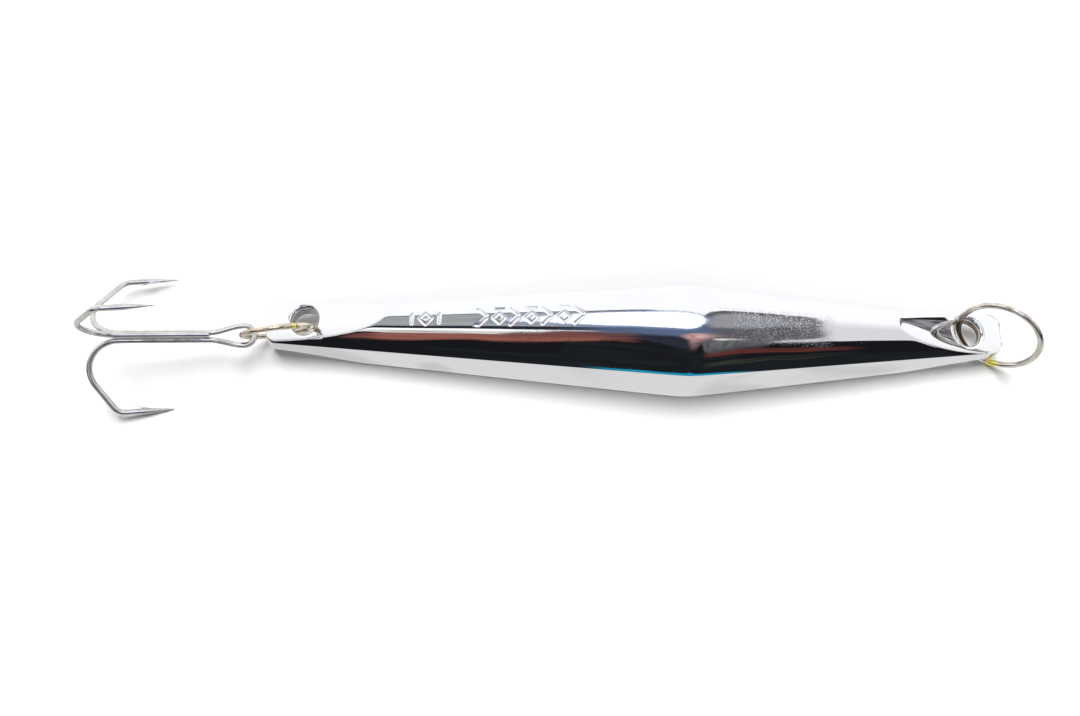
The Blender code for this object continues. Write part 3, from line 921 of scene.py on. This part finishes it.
def make_arms(name, node, path, distances, turns, finish):
    """One bent wire of the hook with the barbs of its points."""
    points, faces, uvs = sweep(hook_places(path), point_radius(distances), ARM_SIDES)
    wire = mesh_object(name, points, faces, [finish], uvs=uvs)
    helpers = []
    for number, turn in enumerate(turns):
        barb_points, barb_faces = barb_mesh(turn)
        helpers.append(mesh_object(f"{name}_barb_{number}", hook_places(barb_points), barb_faces, [finish]))
    unite(wire, helpers)
    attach(wire, "treble_hook")
    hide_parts(node)


def make_braze():
    """Braze that fills the grooves between the shank wires and closes on them at both ends."""
    sides = BRAZE_SIDES
    turns = np.linspace(0, 2 * math.pi, sides, endpoint=False)
    lobe = 0.5 + 0.5 * np.cos(3 * turns)  # 1 over each wire, 0 over each groove
    points = []
    for place in np.linspace(BRAZE_START, BRAZE_END, BRAZE_STEPS):
        into = min(BRAZE_START - place, place - BRAZE_END)
        closing = min(1, math.sqrt(max(into, 0) / BRAZE_CLOSING))
        lumps = sum(depth * math.sin(place * turn + start) for depth, turn, start in BRAZE_LUMPS)
        swollen = BRAZE_RADIUS + lumps * np.sin(turns * 3 + place)
        radius = swollen * (BRAZE_TIP + (1 - BRAZE_TIP) * closing) - BRAZE_WAIST * lobe
        points += [arm_point(place, r, t) for r, t in zip(radius, turns)]
    faces = [tuple(range(sides)), tuple(range(len(points) - 1, len(points) - 1 - sides, -1))]
    for i in range(BRAZE_STEPS - 1):
        faces += band(i * sides, (i + 1) * sides, sides)
    braze = mesh_object("shank_braze_fill", hook_places(points), faces, [braze_finish()])
    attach(braze, "treble_hook")
    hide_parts("shank_braze")


def make_hook():
    finish = hook_finish()
    outline = arm_outline()

    def arm(turn):
        return [arm_point(*place, turn) + sway(*place) for place in outline]

    path, length = respaced(arm(FRONT)[::-1] + eye_path() + arm(BACK), ARM_STEP)
    from_tip = np.minimum(length, length[-1] - length)
    make_arms("double_hook_bend", "double_hook_wire", path, from_tip, (FRONT, BACK), finish)
    start = arm_point(BRAZE_START + SINGLE_OVERRUN, SHANK_OFFSET, TOP)
    path, length = respaced([start] + arm(TOP), ARM_STEP)
    make_arms("single_hook_bend", "single_hook_wire", path, length[-1] - length, (TOP,), finish)
    make_braze()


# ---- table, lights and what the metal mirrors

SKY_RADIUS = 2.0
LAYER_STEP = 0.03
TENT_ROWS = 12
TENT_SIDES = 40
TENT_OUT = 1.1
TENT_FOOT = 0.1  # the tent reaches this share of a quarter turn below the table's level
TENT_GLOW = 1.5
FRONT_GLOW = 1.05
TABLE_OUT = 1.2
MIRRORED_SHARE = 0.6
TABLE_GLOW = 0.9
GLOW_START = 0.35  # metres from the middle
GLOW_FULL = 1.6
KEY_PLACE = (-0.05, 0.70, 1.21)
KEY_SIZE = 1.4
KEY_POWER = 42.0
ROOM_COLOUR = (1.0, 0.97, 0.93, 1.0)
ROOM_GLOW = 0.09
CAMERA_LENS = 34.07
CAMERA_PLACE = (-14.42, -56.45, 161.07)
CAMERA_TARGET = (-15.24, -5.10, 3.0)
CAMERA_TURN = math.radians(0.92)


def direction(side, climb):
    """Unit vector at this angle towards +X and this climb from the -Y horizon over the top, in degrees."""
    a, b = math.radians(side), math.radians(climb)
    return Vector((math.sin(a), -math.cos(a) * math.cos(b), math.cos(a) * math.sin(b)))


def card_finish(name, colour, second, edge, squareness, grain):
    """A glowing card with soft rounded edges and a streaky second tone."""
    nodes = Nodes(name)
    out = []
    for place in nodes.axes(nodes.uv)[:2]:
        off_centre = nodes.away(nodes.math("MULTIPLY", place, 2.0), 1.0)
        out.append(nodes.math("POWER", off_centre, squareness))
    reach = nodes.math("POWER", nodes.math("ADD", *out), 1 / squareness)
    streaks = nodes.stretched(grain, 4, rough=0.5, source=nodes.uv)
    fray = edge * 0.3
    ragged = nodes.math("ADD", reach, nodes.ramp(streaks, 0.2, 0.8, -fray, fray))
    glow = nodes.glow(nodes.mix(nodes.ramp(streaks, 0.35, 0.65), colour, second))
    clear = nodes.add("ShaderNodeBsdfTransparent")
    mixed = nodes.add("ShaderNodeMixShader")
    for socket, source in zip(mixed.inputs, (nodes.ramp(ragged, 1.0, 1.0 - edge), clear.outputs[0], glow)):
        nodes.link(source, socket)
    return nodes.surface(mixed.outputs[0])


def mirrored_only(obj):
    """Shows an object in reflections alone: it neither lights the table nor blocks the view."""
    for kind in ("camera", "diffuse", "shadow", "transmission", "volume_scatter"):
        setattr(obj, f"visible_{kind}", False)


def card(name, corners, colour, second=None, layer=0, edge=0.12, squareness=5.0, grain=(2, 6, 1)):
    """A four-cornered patch of the surroundings; each corner is a side angle and a climb.

    The corners go low left, low right, high right, high left, and a higher layer hangs in front.
    """
    steps = 24
    radius = SKY_RADIUS * (1 - LAYER_STEP * layer) / MM
    low_left, low_right, high_right, high_left = np.array(corners, float)
    points, faces, uvs = [], [], []
    for u in np.linspace(0, 1, steps + 1):
        for v in np.linspace(0, 1, steps + 1):
            low = low_left + (low_right - low_left) * u
            high = high_left + (high_right - high_left) * u
            points.append(direction(*(low + (high - low) * v)) * radius)
    for i in range(steps):
        for k in range(steps):
            a = i * (steps + 1) + k
            faces.append((a, a + 1, a + steps + 2, a + steps + 1))
            uvs.append([(p / steps, q / steps) for p, q in ((i, k), (i, k + 1), (i + 1, k + 1), (i + 1, k))])
    finish = card_finish(f"{name}_look", colour, second or colour, edge, squareness, grain)
    mirrored_only(mesh_object(name, points, faces, [finish], uvs=uvs))


def upright(left, right, low, high):
    """Corners of a card whose sides stand straight."""
    return ((left, low), (right, low), (right, high), (left, high))


def make_surroundings():
    """A white tent with the dark, brown and grey things in it that the polished faces mirror."""
    black, soot = (0.012, 0.013, 0.016), (0.020, 0.024, 0.026)
    white_tent = tent()
    mirrored_only(white_tent)
    white_tent.visible_camera = True
    card("dark_room", upright(-85, 85, -8, 20.6), black, soot, edge=0.015, squareness=16)
    card("dark_left_wall", ((-70, 10), (-15, 10), (-19, 22.5), (-70, 75)), black, black, 1, 0.03, 12)
    card("dark_left_shelf", ((-24, 17), (-3, 17), (2, 33), (-24, 22.5)), black, black, 1, 0.05, 10)
    card("dark_behind", upright(-9, 26, 12, 62), (0.03, 0.034, 0.05), (0.05, 0.055, 0.08), 1, 0.05, 9)
    card("dark_sill", upright(-10, 26, 11, 24.6), black, soot, 2, 0.04, 12)
    card("dark_right_shelf", upright(15, 38, 14, 21.5), black, black, 2, 0.06, 8)
    card("dark_right_wall", ((36.5, 10), (70, 10), (70, 62), (40.5, 31)), black, black, 1, 0.03, 12)
    brown, rust = (0.46, 0.165, 0.13), (0.27, 0.10, 0.08)
    card("brown_left", ((-24, 18.2), (-4.0, 23.3), (-4.5, 28), (-24, 23.0)), brown, rust, layer=3, edge=0.3)
    red_brown, dark_brown = (0.30, 0.11, 0.095), (0.15, 0.075, 0.07)
    rise = ((-16.5, 21.5), (-4.5, 23.8), (-5.5, 45), (-12.2, 47))
    card("brown_rise", rise, red_brown, dark_brown, 4, 0.35, 3)
    dull_red, dim_red = (0.19, 0.045, 0.04), (0.10, 0.032, 0.028)
    card("brown_right", ((19, 18.6), (34, 16.4), (34, 18.4), (19, 21.3)), dull_red, dim_red, 3, 0.45)
    card("green_right", upright(19, 33, 14.2, 16.2), (0.055, 0.065, 0.05), black, layer=3, edge=0.5)
    cyan, deep_cyan = (0.02, 0.50, 0.82), (0.0, 0.30, 0.50)
    card("cyan_left", ((-8.5, 8), (13, 8), (13, 14.4), (-8.5, 14.2)), cyan, deep_cyan, 3, 0.25, 6)
    card("cyan_right", ((9, 5), (26.5, 5), (26.5, 11.0), (9, 14.4)), cyan, deep_cyan, 3, 0.25, 6)
    beige, pale_beige = (0.55, 0.50, 0.47), (1.2, 1.1, 1.05)
    card("pale_slot", ((-22, 24.5), (-14.5, 25), (-12.5, 40), (-22, 40)), beige, pale_beige, 2, 0.3)
    white = (1.65, 1.65, 1.65)
    card("white_slot", ((-27, 37), (-13.2, 37), (-12.0, 46), (-27, 47)), white, layer=3, edge=0.2)
    card("pink_blotch", upright(-1, 26, 23.0, 52), (0.62, 0.26, 0.28), (0.95, 0.68, 0.66), 5, 0.5, 2.2)
    streak = ((21.5, 24.5), (26.8, 22.8), (26.8, 27.5), (21.5, 31))
    card("pale_streak", streak, (1.3, 1.28, 1.2), (0.5, 0.46, 0.42), 6, 0.45, 2.2)
    blue, bright_blue = (0.12, 0.15, 0.23), (0.17, 0.25, 0.43)
    card("blue_shade", upright(-13, 26, 33, 70), blue, bright_blue, 4, 0.35, 3, (30, 14, 1))
    card("lens_rim", ((-34, 46), (0, 46), (0, 109), (-22.5, 106)), (0.03, 0.033, 0.05), layer=3, edge=0.03)
    lens = ((-32, 57), (0, 57), (0, 107), (-22, 104))
    card("lens_grey", lens, (0.47, 0.475, 0.48), (0.56, 0.58, 0.60), 4, 0.05, 5, (3, 3, 1))
    lens_end = ((16, 19), (32.7, 19), (35.0, 113), (16, 113))
    card("lens_dark_end", lens_end, (0.11, 0.11, 0.125), (0.20, 0.20, 0.22), 3, 0.05, 3.2, (24, 30, 1))
    end_grey, end_dark = (0.56, 0.57, 0.60), (0.33, 0.335, 0.36)
    card("lens_end_glow", upright(18, 34.3, 56, 109), end_grey, end_dark, 4, 0.4, 2.4, (24, 24, 1))
    fringe, pale_fringe = (0.12, 0.20, 0.46), (0.42, 0.52, 0.75)
    card("window_fringe", upright(-18, 22, 52, 109), fringe, pale_fringe, 5, 0.25, 2.6, (26, 18, 1))
    card("window", upright(-16, 20, 59, 105), (1.9, 2.0, 2.15), (1.7, 1.85, 2.1), 6, 0.14, 2.4)
    shade = ((49.5, 99), (61.5, 134.2), (61.5, 135.4), (49.5, 133.4))
    card("nose_shade", shade, (0.12, 0.11, 0.125), (0.46, 0.45, 0.48), 1, 0.06, 8, (3, 5, 1))
    card("nose_shade_rim", ((49.5, 129), *shade[1:]), (0.02, 0.018, 0.02), layer=2, edge=0.1, squareness=8)


def tent():
    """The white tent that closes over the table, brighter behind than in front."""
    points, faces = [], []
    for i in range(TENT_ROWS + 1):
        climb = math.pi / 2 * (i / TENT_ROWS * (1 + TENT_FOOT) - TENT_FOOT)
        level = math.cos(climb)
        for k in range(TENT_SIDES):
            turn = 2 * math.pi * k / TENT_SIDES
            place = Vector((math.cos(turn) * level, math.sin(turn) * level, math.sin(climb)))
            points.append(place * SKY_RADIUS * TENT_OUT / MM)
    for i in range(TENT_ROWS):
        faces += band(i * TENT_SIDES, (i + 1) * TENT_SIDES, TENT_SIDES)
    nodes = Nodes("tent_look")
    _, y, _ = nodes.axes()
    folds = nodes.mix(nodes.noise(0.0012, detail=2), (1.0, 1.0, 1.0), (0.92, 0.925, 0.95))
    glow = nodes.glow(folds, nodes.ramp(y, -0.7, 0.6, FRONT_GLOW, TENT_GLOW))
    return mesh_object("tent", points, faces, [nodes.surface(glow)])


def sheet(name, half, height, finish):
    """A level square sheet this far out from the middle on each side."""
    corners = [(-half, -half, height), (half, -half, height), (half, half, height), (-half, half, height)]
    return mesh_object(name, corners, [(0, 1, 2, 3)], [finish])


def make_table():
    size = SKY_RADIUS * TABLE_OUT / MM
    nodes = Nodes("table_look")
    fibres = nodes.noise(0.8, detail=5)
    nodes.set(base_color=nodes.mix(fibres, (0.86, 0.86, 0.86), (0.90, 0.90, 0.90)), roughness=0.9)
    nodes.shader.inputs["Specular IOR Level"].default_value = 0.0
    # Past the lamp's reach the table glows a little, so that it stays pale to the tent's foot.
    far = nodes.add("ShaderNodeVectorMath", operation="LENGTH")
    nodes.link(nodes.place, far.inputs[0])
    nodes.shader.inputs["Emission Color"].default_value = (1.0, 1.0, 1.0, 1.0)
    nodes.set(emission_strength=nodes.ramp(far.outputs["Value"], GLOW_START, GLOW_FULL, 0.0, TABLE_GLOW))
    nodes.bump(fibres, 0.02, 0.3)
    table = sheet("table", size, 0, nodes.material)
    make_table_glow(size * MIRRORED_SHARE)


def make_table_glow(half):
    """What the polished faces mirror of the table: pale grey in front, brighter behind."""
    nodes = Nodes("table_mirrored_look")
    _, y, _ = nodes.axes()
    slanted = nodes.scaled((0.55, 1.6, 1.0), turn=(0, 0, -0.5))
    patches = nodes.noise(0.05, detail=2, vector=slanted, distortion=0.6)
    front = nodes.mix(nodes.ramp(patches, 0.50, 0.60), (0.96, 0.96, 0.955), (0.80, 0.80, 0.79))
    glow = nodes.glow(nodes.mix(nodes.ramp(y, -0.002, 0.012), front, (1.37, 1.37, 1.37)))
    mirrored_only(sheet("table_mirrored", half, 0.01, nodes.surface(glow)))


def make_lights():
    world = bpy.data.worlds.new("soft_room")
    world.use_nodes = True
    background = world.node_tree.nodes["Background"]
    background.inputs["Color"].default_value = ROOM_COLOUR
    background.inputs["Strength"].default_value = ROOM_GLOW
    bpy.context.scene.world = world
    light = bpy.data.lights.new("key", "AREA")
    light.shape = "DISK"
    light.size = KEY_SIZE
    light.energy = KEY_POWER
    key = bpy.data.objects.new("key", light)
    key.location = KEY_PLACE
    key.rotation_euler = (-Vector(KEY_PLACE)).to_track_quat("-Z", "Y").to_euler()
    key.visible_glossy = False
    show(key)
    bpy.context.scene.view_settings.view_transform = "Standard"


def make_camera():
    camera = bpy.data.cameras.new("camera")
    camera.sensor_width = 36.0
    camera.lens = CAMERA_LENS
    camera.clip_start = 0.005
    obj = bpy.data.objects.new("camera", camera)
    place = Vector(CAMERA_PLACE) * MM
    back = (place - Vector(CAMERA_TARGET) * MM).normalized()
    right = Vector((math.cos(CAMERA_TURN), math.sin(CAMERA_TURN), 0))
    up = back.cross(right).normalized()
    right = up.cross(back)
    obj.matrix_world = Matrix.Translation(place) @ Matrix((right, up, back)).transposed().to_4x4()
    show(obj)
    bpy.context.scene.camera = obj


make_camera()
make_body()
make_rings()
make_hook()
make_table()
make_surroundings()
make_lights()
